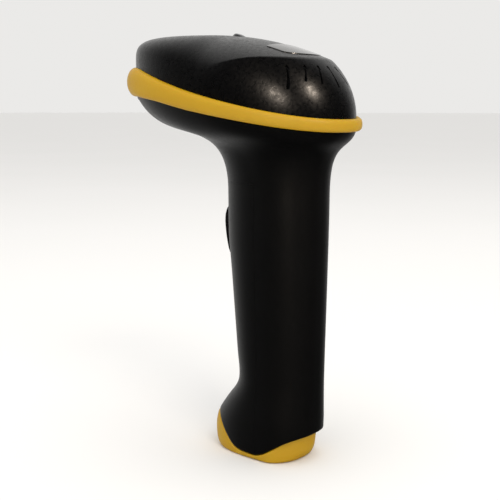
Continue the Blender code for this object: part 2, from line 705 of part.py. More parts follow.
def make_battery():
    middle = CELL_LOW + CELL_LENGTH / 2
    radius = CELL_RADIUS
    top = CELL_LENGTH / 2
    rim = 0.5
    cell = [(0, top + 0.8), (3.2, top + 0.8), (3.2, top), (radius - rim, top),
            (radius, top - rim), (radius, rim - top), (radius - rim, -top), (0, -top)]
    turned("battery_cell", cell, CELL, (0, -CELL_AHEAD, middle), steps=28)
    inner = radius + GAP
    outline = arc((0, 0), inner + 1.2, -75, 75, 15) + arc((0, 0), inner, 75, -75, 15)
    rings = [[(across, -ahead, z) for ahead, across in outline] for z in (-top, top)]
    cradle = place("battery_cradle", loft("battery_cradle", rings), FRAME,
                   (0, -CELL_AHEAD, middle))
    start = CELL_AHEAD + inner + 0.6
    for number, height in enumerate(GRIP_SCREWS, 1):
        reach = float(handle_radius(0.0, height)) - WALL - 1.0 - start
        name = f"cradle_post_{number}"
        place_at = (0, -(start + reach / 2), height)
        boolean(cradle, place(name, rod_mesh(name, 2.8, reach, 14), None, place_at, FORWARD), "UNION")
        name = f"cradle_bore_{number}"
        bore = place(name, rod_mesh(name, SHANK + GAP, 2 * reach - 1.6, 12), None,
                     (0, -(start + reach), height), FORWARD)
        boolean(cradle, bore)
    place("cell_contact_top", box_mesh("cell_contact_top", (8.0, 8.0, 0.4)), BRASS,
          (0, -CELL_AHEAD, CELL_LOW + CELL_LENGTH + 0.8 + GAP + 0.2))
    wire("cell_contact_spring", coil(4.2, 1.8, 3.2, 3), 0.35, STEEL,
         (0, -CELL_AHEAD, CELL_LOW - GAP - 0.35 - 3.2))
    place("charge_board", box_mesh("charge_board", (16.0, 16.0, 1.2)), BOARD,
          (0, -6.2, CELL_LOW - 7.5))


def make_charge_port():
    block = box_mesh("contact_block", (PORT_SIZE[0], PORT_SIZE[1], 6.0), 0.3)
    body = place("contact_block", block, CHIP, (0, -PORT_AHEAD, 3.4))
    for number, side in enumerate((-4.5, -1.5, 1.5, 4.5), 1):
        hole = rod_mesh(f"contact_hole_{number}", 0.9, 10.0, 12)
        boolean(body, place(f"contact_hole_{number}", hole, None, (side, -PORT_AHEAD, 3.4)))
        name = f"charge_contact_{number}"
        place(name, rod_mesh(name, 0.65, 6.4, 12), BRASS, (side, -PORT_AHEAD, 3.7))


# ---------------------------------------------------------------- trigger
def make_trigger():
    pivot = bpy.data.objects.new("trigger_pivot", None)
    SCANNER.objects.link(pivot)
    pivot.location = Vector((0, -PIVOT_AHEAD, PIVOT_Z)) * MM
    # side outline about the pivot: finger face, inner face with the switch rib, barrel
    face = [(2.9, -3.9), (3.0, -5.1), (6.6, -5.8), (8.0, -7.6), (8.8, -11.0), (8.7, -15.0),
            (8.0, -20.0), (6.9, -24.5), (5.4, -27.2)]
    inner = [(3.6, -27.2), (3.9, -18.0), (RIB_REACH, -16.6), (RIB_REACH, -13.4), (3.7, -12.0),
             (0.8, -6.0)]
    outline = face + inner + arc((0, 0), 3.0, 260, 0, 11)
    lever = place("trigger", extruded("trigger", outline, TRIGGER_HALF), TRIGGER, parent=pivot)
    bore = rod_mesh("pivot_bore", PIN_RADIUS + 0.2, 30.0, 24)
    boolean(lever, place("pivot_bore", bore, None, (0, -PIVOT_AHEAD, PIVOT_Z), SIDEWAYS))
    gap = box_mesh("spring_gap", (5.2, 12.0, 10.0))
    boolean(lever, place("spring_gap", gap, None, (0, -PIVOT_AHEAD + 2.0, PIVOT_Z + 1.4)))
    place("trigger_pin", rod_mesh("trigger_pin", PIN_RADIUS, 20.0, 24), STEEL,
          (0, -PIVOT_AHEAD, PIVOT_Z), SIDEWAYS)
    wire("trigger_spring", coil(1.95, 1.95, 3.2, 4), 0.3, STEEL,
         (-1.6, -PIVOT_AHEAD, PIVOT_Z), SIDEWAYS)
    tip = PIVOT_AHEAD + RIB_REACH - GAP
    place("switch_plunger", rod_mesh("switch_plunger", 1.1, PLUNGER_LENGTH, 14), TRIGGER,
          (0, -(tip - PLUNGER_LENGTH / 2), SWITCH_Z), FORWARD)


for stale in list(bpy.data.objects):
    bpy.data.objects.remove(stale, do_unlink=True)

SCANNER = new_collection("barcode_scanner")
CUTTERS = new_collection("cutters")
BLACK = material("black_abs", (0.012, 0.012, 0.013), 0.42)
GRIP = material("black_grip_abs", (0.018, 0.018, 0.020), 0.5)
YELLOW = material("yellow_tpe", (0.62, 0.36, 0.03), 0.5)
TRIGGER = material("black_trigger_abs", (0.012, 0.012, 0.012), 0.35)
CLEAR = material("clear_polycarbonate", (0.25, 0.05, 0.05), 0.08, alpha=0.4)
GLASS = material("coated_lens", (0.1, 0.05, 0.15), 0.05)
GLOSS = material("gloss_label", (0.03, 0.03, 0.032), 0.12)
FOAM = material("black_foam", (0.02, 0.02, 0.02), 0.95)
ENGINE = material("engine_casting", (0.05, 0.05, 0.055), 0.45, 0.5)
BOARD = material("green_board", (0.01, 0.11, 0.05), 0.4)
CHIP = material("chip_epoxy", (0.015, 0.015, 0.016), 0.55)
STEEL = material("steel", (0.55, 0.55, 0.56), 0.3, 1.0)
BRASS = material("gold_contact", (0.78, 0.57, 0.2), 0.25, 1.0)
RIBBON = material("ribbon_film", (0.5, 0.22, 0.04), 0.4)
CELL = material("cell_sleeve", (0.05, 0.16, 0.4), 0.4)
FRAME = material("grey_nylon", (0.2, 0.2, 0.2), 0.6)

make_top_cover()
make_label_plate()
make_bumper_band()
make_handle_shells()
make_butt_boot()
make_window_bezel()
make_optics()
make_electronics()
make_battery()
make_charge_port()
make_trigger()
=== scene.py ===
"""Looks of a cordless pistol-grip barcode scanner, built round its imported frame.

Lengths are in millimetres and go through MM once, where a mesh is made. "Ahead" is the
distance towards the nose, which is -Y; "side" is +X. Angles round the head and the handle
are 0 at the nose and grow towards +X.
"""
import math

import bmesh
import bpy
import numpy as np
from mathutils import Matrix, Vector


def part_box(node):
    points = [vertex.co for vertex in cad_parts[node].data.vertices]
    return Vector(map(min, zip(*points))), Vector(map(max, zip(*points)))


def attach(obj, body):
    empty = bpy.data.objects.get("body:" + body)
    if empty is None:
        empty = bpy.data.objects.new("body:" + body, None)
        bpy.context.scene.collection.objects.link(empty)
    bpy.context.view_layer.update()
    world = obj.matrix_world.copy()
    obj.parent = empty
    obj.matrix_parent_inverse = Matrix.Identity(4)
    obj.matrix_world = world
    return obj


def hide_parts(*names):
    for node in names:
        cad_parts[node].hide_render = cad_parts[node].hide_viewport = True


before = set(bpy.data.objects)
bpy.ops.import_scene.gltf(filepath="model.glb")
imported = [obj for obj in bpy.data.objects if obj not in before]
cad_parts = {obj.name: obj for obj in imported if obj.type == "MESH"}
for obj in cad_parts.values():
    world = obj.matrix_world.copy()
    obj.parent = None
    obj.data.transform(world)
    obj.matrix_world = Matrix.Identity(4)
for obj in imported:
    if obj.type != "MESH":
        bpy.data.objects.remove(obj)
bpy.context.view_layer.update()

MM = 0.001
GAP = 0.3                      # shut line between neighbouring mouldings
TIGHT_GAP = 0.06               # the same where the handle's two halves meet almost unseen
WALL = 2.2


def corners(*nodes):
    """Lowest and highest corner, in mm, of the box round some nodes."""
    boxes = [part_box(node) for node in nodes]
    low = np.min([low for low, _ in boxes], axis=0) / MM
    high = np.max([high for _, high in boxes], axis=0) / MM
    return low, high


# Head, seen from above: two half super-ellipses that meet at HEAD_MID
_, cover_high = corners("top_cover")
HEAD_MID = 20.0
HEAD_NOSE = HEAD_MID + 48.7
HEAD_REAR = -float(cover_high[1])
HEAD_HALF = float(cover_high[0])
NOSE_POWER = 3.0
REAR_POWER = 2.3

# Bumper band
band_low, band_high = corners("bumper_band")
BAND_REAR_HEIGHT = 5.2
BAND_REAR_Z = float(band_low[2]) + BAND_REAR_HEIGHT / 2
BAND_CLIMB = 19.9
BAND_EXTRA_HEIGHT = 6.4
BAND_NOSE_LIFT = 0.9
BAND_END_DROP = 1.3
BAND_REAR_PROUD = float(band_high[1]) + HEAD_REAR
BAND_EXTRA_PROUD = 0.78

# Roof and its shoulder crease
ROOF_Z = 180.55
ROOF_CLIMB = 0.032             # per mm, ahead of ROOF_FALL_FROM
ROOF_FALL_FROM = 31.0
ROOF_FALL = 0.0094
ROOF_FALL_POWER = 1.8
ROOF_CROWN = 0.0078
NOSE_CROWN = 1 / 600.0
NOSE_ROUND = 5.0
SIDE_ROUND = 4.2
CREASE_EDGE = 0.03             # shares of the head's radius, from its edge inwards
CREASE_INSET = 0.205
CREASE_POWER = 4
CREASE_WIDTH = 0.5
CREASE_EXTRA_WIDTH = 3.0

# Handle sections: height, reach ahead, reach behind, half width
HANDLE = (
    (0.0, 28.0, -16.2, 15.1), (2.0, 29.6, -17.9, 15.6), (5.0, 30.8, -18.7, 15.9),
    (8.0, 31.3, -19.0, 16.1), (12.0, 30.8, -19.2, 16.2), (16.0, 29.4, -19.4, 16.3),
    (20.0, 26.6, -19.5, 16.0), (25.0, 22.6, -19.6, 15.6), (29.0, 18.9, -19.7, 15.3),
    (33.0, 16.6, -19.8, 15.1), (38.0, 16.5, -19.9, 15.1), (45.0, 17.6, -20.0, 15.2),
    (60.0, 19.0, -20.3, 15.5), (80.0, 20.8, -20.6, 16.0), (95.0, 22.4, -20.8, 16.4),
    (105.0, 22.6, -20.9, 16.6), (118.0, 22.6, -20.9, 16.8),
)
HANDLE_POWER = 2.6
FOOT_EXTRA_POWER = 0.35        # fuller corners in front, below FOOT_FULL_BELOW
FOOT_FULL_BELOW = 8.0
HANDLE_EASE = 9                # half-millimetre steps that each section is averaged over
NECK_Z = 112.0
NECK_TILT = 3.0                # how much higher the neck starts in front
NECK_LIFT = 0.88
BELLY_TUCK, BELLY_NOSE_TUCK = 0.05, 0.23
BELLY_DROP, BELLY_NOSE_DROP = 8.0, 18.5
SPLIT_AHEAD = 1.0
SPLIT_TOP = 119.0
BOOT_RIM = 2.0
BOOT_FLOOR = 1.2
TOE_START = 13.7
TOE_SLOPE = 1.2
TOE_EASE = 3.0
TOE_TOP = 16.0
TOE_TOP_EASE = 4.0
HEEL_SPAN = (3.0, -20.5)
HEEL_RISE = 10.2
HEEL_INSET = 3.3

# Window, trigger, slots and label
bezel_low, bezel_high = corners("window_bezel")
WINDOW_Z = float(bezel_low[2] + bezel_high[2]) / 2
BEZEL_HALF = float(bezel_high[0])
BEZEL_HALF_HEIGHT = float(bezel_high[2] - bezel_low[2]) / 2
WINDOW_HALF = 17.0
WINDOW_HALF_HEIGHT = 8.0
MOUTH_HALF = BEZEL_HALF + GAP + 0.2
pin_low, pin_high = corners("trigger_pin")
PIVOT_AHEAD = -float(pin_low[1] + pin_high[1]) / 2
PIVOT_Z = float(pin_low[2] + pin_high[2]) / 2
TRIGGER_HALF = float(corners("trigger")[1][0])
TRIGGER_SLOT = (86.0, 109.2)
MOUTH_CORNER = 2.9
SLOT_PITCH = 6.1
SLOT_TOP = 165.8
SLOT_DROPS = (8.0, 6.9, 6.0, 9.0)      # from the middle slot outwards
SLOT_LEAN = 3.0
SLOT_REACH = (14.0, 36.0)
pipe_low, pipe_high = corners("light_pipe")
LAMP_AHEAD = -float(pipe_low[1] + pipe_high[1]) / 2
LAMP_HALF = 2.6
LAMP_HALF_LENGTH = 3.3
LABEL_HALF = 12.4
LABEL_AHEAD = -1.6
LABEL_REAR = -16.2
LABEL_BOW = 4.8


# ---------------------------------------------------------------- shape formulas
def plan_radius(angle, ahead, behind, half, power_ahead, power_behind):
    """(|cos/reach|^p + |sin/half|^p)^(-1/p), with its own reach and p ahead and behind."""
    c, s = np.cos(angle), np.sin(angle)
    reach = np.where(c > 0, ahead, behind)
    power = np.where(c > 0, power_ahead, power_behind)
    return (np.abs(c / reach) ** power + np.abs(s / half) ** power) ** (-1 / power)


def head_radius(angle, grow=0.0):
    return plan_radius(angle, HEAD_NOSE - HEAD_MID + grow, HEAD_MID - HEAD_REAR + grow,
                       HEAD_HALF + grow, NOSE_POWER, REAR_POWER)


def along_head(ahead):
    """0 at the rear of the head and 1 at its nose."""
    return np.clip((ahead - HEAD_REAR) / (HEAD_NOSE - HEAD_REAR), 0, 1)


def band_middle(ahead):
    along = along_head(ahead)
    lift = BAND_NOSE_LIFT * smooth(0.5, 0.8, along) - BAND_END_DROP * smooth(0.86, 0.97, along)
    return BAND_REAR_Z + BAND_CLIMB * along ** 1.15 + lift


def band_half(ahead):
    return (BAND_REAR_HEIGHT + BAND_EXTRA_HEIGHT * along_head(ahead) ** 1.6) / 2


def smooth(low, high, value):
    """0 below low and 1 above high, with an S-shaped rise between them."""
    t = np.clip((value - low) / (high - low), 0, 1)
    return t * t * (3 - 2 * t)


def soft_min(a, b, width):
    """The lower of two heights, with the corner where they cross rounded over a width."""
    h = np.clip(0.5 + 0.5 * (b - a) / width, 0, 1)
    return b * (1 - h) + a * h - width * h * (1 - h)


def roof_height(side, ahead, crown):
    fall = np.clip(ROOF_FALL_FROM - ahead, 0, None)
    climb = np.clip(ahead - ROOF_FALL_FROM, 0, None)
    return (ROOF_Z + ROOF_CLIMB * climb - ROOF_FALL * fall ** ROOF_FALL_POWER
            - crown * side ** 2)


def dome_rim(angle):
    ahead = HEAD_MID + head_radius(angle) * np.cos(angle)
    return band_middle(ahead) + band_half(ahead) + GAP / 2


def crease_share(angle):
    """Share of the head's radius at which the shoulder crease runs."""
    return 1 - CREASE_EDGE - CREASE_INSET * ((1 - np.cos(angle)) / 2) ** CREASE_POWER


def dome_height(angle, share):
    """Height of the cover at an angle and a share of the head's radius.

    Round the rear, a flank that rises as an ellipse, sqrt(1 - share^2), meets a flatter roof
    in a crease. Round the nose it is a super-ellipse, (1 - share^p)^(1/p), with no crease.
    """
    radius = head_radius(angle)
    side = radius * share * np.sin(angle)
    ahead = HEAD_MID + radius * share * np.cos(angle)
    rim = dome_rim(angle)
    crease = crease_share(angle)
    crest = roof_height(radius * crease * np.sin(angle),
                        HEAD_MID + radius * crease * np.cos(angle), ROOF_CROWN)
    arch = rim + (crest - rim) * np.sqrt(np.clip(1 - share ** 2, 0, 1) / (1 - crease ** 2))
    slope = (crest - rim) * crease / (1 - crease ** 2)
    flank = np.where(share < crease, crest + slope * (crease - share), arch)
    round_over = CREASE_WIDTH + CREASE_EXTRA_WIDTH * smooth(-0.5, 0.3, np.cos(angle))
    creased = soft_min(flank, roof_height(side, ahead, ROOF_CROWN), round_over)
    power = SIDE_ROUND + (NOSE_ROUND - SIDE_ROUND) * smooth(-0.2, 0.9, np.cos(angle))
    crown = NOSE_CROWN + (ROOF_CROWN - NOSE_CROWN) * smooth(0.8, -0.1, np.cos(angle))
    climb = np.clip(1 - share ** power, 0, 1) ** (1 / power)
    rounded = rim + (roof_height(side, ahead, crown) - rim) * climb
    blend = smooth(-0.15, -0.95, np.cos(angle))
    return rounded + (creased - rounded) * blend


def dome_at(side, ahead):
    """Height of the cover above a point in plan."""
    angle = np.arctan2(side, ahead - HEAD_MID)
    share = np.hypot(side, ahead - HEAD_MID) / head_radius(angle)
    return dome_height(angle, share)


def handle_radius(angle, height, grow=0.0):
    """Super-ellipse whose reaches are read along a smooth curve through HANDLE's rows.

    The curve is the straight lines between the rows, averaged over HANDLE_EASE steps.
    """
    z, ahead, behind, half = np.array(HANDLE).T
    steps = np.linspace(z[0], z[-1], 2 * int(z[-1]) + 1)
    blur = np.ones(HANDLE_EASE) / HANDLE_EASE

    def eased(values):
        dense = np.interp(steps, z, values)
        padded = np.pad(dense, HANDLE_EASE // 2, mode="reflect", reflect_type="odd")
        return np.interp(height, steps, np.convolve(padded, blur, "valid"))
    power = HANDLE_POWER + FOOT_EXTRA_POWER * smooth(FOOT_FULL_BELOW, 0.0, height)
    return plan_radius(angle, eased(ahead) + grow, -eased(behind) + grow, eased(half) + grow,
                       power, HANDLE_POWER)


def boot_line(ahead):
    """Height of the wavy joint between the handle and the butt boot: level in the middle, up
    an eased slope to the toe, and up an S-curve to the heel."""
    toe = ahead - TOE_START
    climb = BOOT_RIM + TOE_SLOPE * (toe + np.sqrt(toe ** 2 + TOE_EASE ** 2)) / 2
    return soft_min(climb, TOE_TOP, TOE_TOP_EASE) + HEEL_RISE * smooth(*HEEL_SPAN, ahead)


def heel_weight(angle):
    """0 round the front and sides of the handle, growing to 1 at the middle of its rear."""
    return smooth(0.25, 0.95, -np.cos(angle))


def polar(radius, angle, height, middle=0.0):
    """Points from a radius and an angle that is 0 at the nose, as X, Y, Z."""
    return np.stack(np.broadcast_arrays(radius * np.sin(angle),
                                        -(middle + radius * np.cos(angle)), height), -1)


def turn(count):
    return np.arange(count) * 2 * math.pi / count


# ---------------------------------------------------------------- mesh helpers
def skin(grid, wrap_rows=False):
    """Quads between the neighbours of a (rows, columns, 3) grid in mm.

    The columns close into a loop. A row that has shrunk to a point becomes a pole.
    """
    rows, columns = grid.shape[:2]
    index = np.arange(rows * columns).reshape(rows, columns)
    low = index if wrap_rows else index[:-1]
    high = np.roll(index, -1, 0) if wrap_rows else index[1:]
    quads = np.stack([low, np.roll(low, -1, 1), np.roll(high, -1, 1), high], -1)
    mesh = bpy.data.meshes.new("skin")
    mesh.from_pydata(grid.reshape(-1, 3) * MM, [], quads.reshape(-1, 4))
    bm = bmesh.new()
    bm.from_mesh(mesh)
    bmesh.ops.remove_doubles(bm, verts=bm.verts, dist=1e-7)
    stray = [edge for edge in bm.edges if not edge.link_faces]
    bmesh.ops.delete(bm, geom=stray, context="EDGES")
    if bm.calc_volume(signed=True) < 0:
        bmesh.ops.reverse_faces(bm, faces=bm.faces)
    bm.to_mesh(mesh)
    bm.free()
    return mesh


def joined(meshes):
    """One mesh that holds several separate closed bodies."""
    bm = bmesh.new()
    for mesh in meshes:
        bm.from_mesh(mesh)
    both = bpy.data.meshes.new("joined")
    bm.to_mesh(both)
    bm.free()
    return both


def carved(mesh, cutters, operation="DIFFERENCE"):
    """A mesh less the cutters, or only what lies inside them."""
    blank = bpy.data.objects.new("blank", mesh)
    tool = bpy.data.objects.new("tool", joined(cutters))
    for made in (blank, tool):
        bpy.context.scene.collection.objects.link(made)
    cut = blank.modifiers.new("Cut", "BOOLEAN")
    cut.operation = operation
    cut.solver = "EXACT"
    cut.object = tool
    graph = bpy.context.evaluated_depsgraph_get()
    result = bpy.data.meshes.new_from_object(blank.evaluated_get(graph))
    for made in (blank, tool):
        bpy.data.objects.remove(made)
    return result


def moved(mesh, place):
    mesh.transform(place)
    return mesh


def block(low, high, bevel=0.0):
    """Box between two corners in mm, its edges rounded by bevel."""
    low, high = np.array(low, float), np.array(high, float)
    bm = bmesh.new()
    bmesh.ops.create_cube(bm, size=1.0)
    bmesh.ops.scale(bm, vec=Vector((high - low) * MM), verts=bm.verts)
    bmesh.ops.translate(bm, vec=Vector((low + high) / 2 * MM), verts=bm.verts)
    if bevel:
        bmesh.ops.bevel(bm, geom=bm.edges[:], offset=bevel * MM, segments=5, profile=0.5,
                        affect="EDGES")
    mesh = bpy.data.meshes.new("block")
    bm.to_mesh(mesh)
    bm.free()
    return mesh


def revolved(profile, place, count=48):
    """Turn an outline of (radius, height) pairs in mm about local Z, then place it."""
    profile = np.array(profile, float)
    angle = turn(count)[None, :]
    radius, height = profile[:, :1], profile[:, 1:]
    grid = np.stack(np.broadcast_arrays(radius * np.cos(angle), radius * np.sin(angle), height), -1)
    return moved(skin(grid), place)


def fillet(middle, radius, start_deg, end_deg, count=6):
    """Points of a circular arc as (x, y) pairs."""
    t = np.radians(np.linspace(start_deg, end_deg, count))
    return [(middle[0] + radius * c, middle[1] + radius * s) for c, s in zip(np.cos(t), np.sin(t))]


def piece(name, mesh, body, finish, replaces, sharp=30):
    """Finish a mesh as a named piece that rides on a body and stands for CAD nodes. Edges
    sharper than the angle in degrees stay crisp."""
    mesh.name = name
    mesh.materials.clear()
    mesh.materials.append(finish)
    mesh.shade_smooth()
    mesh.set_sharp_from_angle(angle=math.radians(sharp))
    made = bpy.data.objects.new(name, mesh)
    bpy.context.scene.collection.objects.link(made)
    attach(made, body)
    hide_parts(*replaces)
    return made


# ---------------------------------------------------------------- materials
def linear(code, alpha=1.0):
    """An sRGB hex colour as linear RGBA."""
    parts = np.array([int(code[i:i + 2], 16) for i in (1, 3, 5)]) / 255
    parts = np.where(parts <= 0.04045, parts / 12.92, ((parts + 0.055) / 1.055) ** 2.4)
    return (*(float(v) for v in parts), alpha)


def add(tree, kind, sockets=None, **settings):
    """Add a node, set its own settings, and set or link its input sockets."""
    made = tree.nodes.new(kind)
    for name, value in settings.items():
        setattr(made, name, value)
    for name, value in (sockets or {}).items():
        if isinstance(value, bpy.types.NodeSocket):
            tree.links.new(value, made.inputs[name])
        else:
            made.inputs[name].default_value = value
    return made


def moulded(name, colour, tint, roughness, spread, grain, depth, strength, shader_values=None):
    """A moulded plastic: colour drifts towards tint, and a grain of that size in mm, cut that
    deep, breaks up its gloss by +-spread."""
    made = bpy.data.materials.new(name)
    made.use_nodes = True
    tree = made.node_tree
    shader = tree.nodes["Principled BSDF"]
    place = add(tree, "ShaderNodeTexCoord").outputs["Object"]
    pits = add(tree, "ShaderNodeTexNoise", {"Vector": place, "Scale": 0.5 / (grain * MM),
                                            "Detail": 1.5, "Roughness": 0.6})
    cloud = add(tree, "ShaderNodeTexNoise", {"Vector": place, "Scale": 1 / (18 * MM),
                                             "Detail": 3.0})
    mix = add(tree, "ShaderNodeMix", {"Factor": cloud.outputs["Fac"], "A": linear(colour),
                                      "B": linear(tint)}, data_type="RGBA")
    tree.links.new(mix.outputs[2], shader.inputs["Base Color"])
    gloss = add(tree, "ShaderNodeMapRange", {"Value": pits.outputs["Fac"], "From Min": 0.3,
                                             "From Max": 0.7, "To Min": roughness - spread,
                                             "To Max": roughness + spread})
    tree.links.new(gloss.outputs["Result"], shader.inputs["Roughness"])
    bump = add(tree, "ShaderNodeBump", {"Height": pits.outputs["Fac"], "Strength": strength,
                                        "Distance": depth * MM})
    tree.links.new(bump.outputs["Normal"], shader.inputs["Normal"])
    for socket, value in (shader_values or {}).items():
        shader.inputs[socket].default_value = value
    return made


def spark_abs():
    """Black ABS from a spark-eroded mould: coarse enough for lamps to glitter in its pits.
    The real pits are about 0.4 mm; they are drawn at 0.7 mm to show."""
    return moulded("spark_textured_black_abs", "#050506", "#080809", 0.31, 0.07, 0.7, 0.05, 0.8,
                   {"IOR": 1.5})


def matt_abs():
    """Black ABS from a finely blasted mould: a soft sheen with barely any grain."""
    return moulded("fine_matt_black_abs", "#060607", "#09090a", 0.42, 0.04, 0.5, 0.02, 0.4,
                   {"IOR": 1.5})


def smooth_abs():
    """Black ABS from a polished mould, dulled a little by fingers."""
    return moulded("polished_black_abs", "#060607", "#080809", 0.26, 0.05, 2.5, 0.01, 0.3,
                   {"IOR": 1.5})


def yellow_tpe():
    """Golden yellow elastomer moulded over the casing: satin, slightly waxy and even."""
    return moulded("satin_yellow_tpe", "#bf950c", "#b88d0a", 0.5, 0.05, 0.6, 0.02, 0.35,
                   {"IOR": 1.42, "Subsurface Weight": 0.08, "Subsurface Scale": 0.002})


def label_film():
    """Grey polyester label under a gloss laminate: a clear, slightly wavy reflection."""
    return moulded("gloss_laminated_film", "#2a2926", "#242321", 0.2, 0.03, 6.0, 0.02, 0.3,
                   {"Coat Weight": 0.6, "Coat Roughness": 0.08})


def smoked_window():
    """Dark red polycarbonate that passes the lamps' red light: clear, with a hard gloss."""
    return moulded("red_smoked_polycarbonate", "#7a1414", "#701010", 0.06, 0.02, 9.0, 0.01, 0.1,
                   {"IOR": 1.585, "Transmission Weight": 0.9})


def smoked_lens():
    """Smoked polycarbonate over the status lamp: nearly black when the lamp is off."""
    return moulded("smoked_polycarbonate", "#17181a", "#1b1c1e", 0.12, 0.03, 4.0, 0.01, 0.2,
                   {"IOR": 1.585, "Coat Weight": 0.5})


def coated_glass():
    """Glass lens with a violet anti-reflection coating."""
    return moulded("coated_optical_glass", "#221a36", "#1a1630", 0.05, 0.02, 5.0, 0.005, 0.1,
                   {"IOR": 1.52, "Coat Weight": 1.0, "Coat Tint": linear("#b9a4ff")})


def closed_foam():
    """Black closed-cell foam: cells 0.6 mm across that hold no highlight."""
    return moulded("closed_cell_foam", "#141414", "#1c1c1c", 0.9, 0.05, 0.6, 0.2, 1.0)


def engine_casting():
    """Black-painted die casting with a faint metallic lift on its edges."""
    return moulded("painted_zinc_casting", "#1d1d1f", "#262628", 0.42, 0.08, 0.7, 0.03, 0.5,
                   {"Metallic": 0.4})


def solder_mask():
    """Green solder mask over glass weave, whose 0.5 mm threads just show through."""
    return moulded("green_solder_mask", "#0b4a2a", "#0a3f25", 0.32, 0.05, 0.5, 0.02, 0.4)


def chip_epoxy():
    """Moulded black epoxy with a dull, sandy finish."""
    return moulded("chip_epoxy", "#151516", "#1b1b1c", 0.6, 0.05, 0.25, 0.01, 0.4)


def nylon():
    """Grey glass-filled nylon: pale glass specks and a waxy surface."""
    return moulded("glass_filled_nylon", "#4a4a4a", "#585858", 0.55, 0.08, 0.4, 0.02, 0.5)


def cell_sleeve():
    """Blue shrink sleeve on the cell, drawn tight and glossy."""
    return moulded("pvc_shrink_sleeve", "#17487f", "#1a518d", 0.3, 0.05, 3.0, 0.03, 0.3)


def polyimide():
    """Amber polyimide film of the flat ribbon."""
    return moulded("polyimide_film", "#8a4b10", "#9a5814", 0.3, 0.05, 3.0, 0.01, 0.2)


def metal(name, colour, tint, roughness, grain, stretch):
    """A metal whose finish runs in lines: noise stretched along one axis tips its gloss."""
    made = bpy.data.materials.new(name)
    made.use_nodes = True
    tree = made.node_tree
    shader = tree.nodes["Principled BSDF"]
    shader.inputs["Metallic"].default_value = 1.0
    place = add(tree, "ShaderNodeTexCoord").outputs["Object"]
    drawn = add(tree, "ShaderNodeMapping", {"Vector": place, "Scale": stretch})
    lines = add(tree, "ShaderNodeTexNoise", {"Vector": drawn.outputs["Vector"],
                                             "Scale": 0.5 / (grain * MM), "Detail": 2.0})
    mix = add(tree, "ShaderNodeMix", {"Factor": lines.outputs["Fac"], "A": linear(colour),
                                      "B": linear(tint)}, data_type="RGBA")
    tree.links.new(mix.outputs[2], shader.inputs["Base Color"])
    gloss = add(tree, "ShaderNodeMapRange", {"Value": lines.outputs["Fac"],
                                             "To Min": roughness * 0.7, "To Max": roughness * 1.3})
    tree.links.new(gloss.outputs["Result"], shader.inputs["Roughness"])
    bump = add(tree, "ShaderNodeBump", {"Height": lines.outputs["Fac"], "Strength": 0.3,
                                        "Distance": 0.01 * MM})
    tree.links.new(bump.outputs["Normal"], shader.inputs["Normal"])
    return made


SPARK_ABS = spark_abs()
MATT_ABS = matt_abs()
SMOOTH_ABS = smooth_abs()
YELLOW_TPE = yellow_tpe()
LABEL_FILM = label_film()
WINDOW = smoked_window()
LENS_CAP = smoked_lens()
GLASS = coated_glass()
FOAM = closed_foam()
CASTING = engine_casting()
BOARD = solder_mask()
EPOXY = chip_epoxy()
NYLON = nylon()
SLEEVE = cell_sleeve()
RIBBON = polyimide()
# drawn stainless wire and rod: fine lines along the drawing direction
STEEL = metal("drawn_stainless_steel", "#b9b9bb", "#a5a5a8", 0.3, 0.3, (1, 1, 0.1))
# zinc-plated screw heads: bright and faintly mottled
ZINC = metal("zinc_plated_steel", "#8f9093", "#7d7e82", 0.34, 0.5, (1, 1, 1))
# gold flash over nickel on the contacts
GOLD = metal("gold_flash", "#d8ae55", "#c99c42", 0.24, 0.4, (1, 1, 0.3))


# ---------------------------------------------------------------- casing
def rounded_loop(half_width, half_height, corner, count=12):
    """Outline of a rounded rectangle as (side, up) arrays, counter-clockwise."""
    quarter = np.repeat(np.arange(4), count)
    t = np.pi / 2 * (quarter + np.tile(np.linspace(0, 1, count), 4))
    sx = np.array([1, -1, -1, 1])[quarter]
    sz = np.array([1, 1, -1, -1])[quarter]
    return (sx * (half_width - corner) + corner * np.cos(t),
            sz * (half_height - corner) + corner * np.sin(t))


def mouth_cutter(clearance):
    """Rounded bar along Y that opens the nose for the window bezel."""
    side, up = rounded_loop(BEZEL_HALF + clearance, BEZEL_HALF_HEIGHT + clearance,
                            MOUTH_CORNER)
    front, back = HEAD_NOSE + 15, HEAD_NOSE - 20
    rows = [(0, front), (1, front), (1, back), (0, back)]
    grid = np.array([[(x * s, -a, WINDOW_Z + z * s) for x, z in zip(side, up)]
                     for s, a in rows])
    return skin(grid)


def vent_slot(number):
    """Wedge that cuts one slot: narrow at the top and wider at its foot, leaning outwards."""
    side = number * SLOT_PITCH
    drop = SLOT_DROPS[abs(number)]
    lean = SLOT_LEAN * np.sign(number)
    z = np.array([0.0, 0.12, 0.5, 0.9, 1.0])
    half = np.array([0.15, 0.25, 0.36, 0.5, 0.32])
    x = side + lean * z
    outline = np.concatenate([np.stack([x - half, SLOT_TOP - drop * z], -1),
                              np.stack([x + half, SLOT_TOP - drop * z], -1)[::-1]])
    middle = outline.mean(0)
    start, stop = SLOT_REACH
    rows = [(0, start), (1, start), (1, stop), (0, stop)]
    grid = np.array([[(middle[0] + (a - middle[0]) * s, y, middle[1] + (b - middle[1]) * s)
                      for a, b in outline] for s, y in rows])
    return skin(grid)


def slot_funnel(number):
    """Small cone at a slot's upper end, placed by stepping out until the cover is that high."""
    side = number * SLOT_PITCH
    top = SLOT_TOP - 0.4
    ahead = -18.0
    for _ in range(12):
        ahead += 0.35 * (top - float(dome_at(side, ahead)))
    place = Matrix.Translation(Vector((side, -ahead, top)) * MM) @ Matrix.Rotation(
        math.radians(50), 4, "X")
    return revolved([(0, -1.5), (0.25, -1.5), (0.7, 1.2), (0, 1.2)], place, 24)


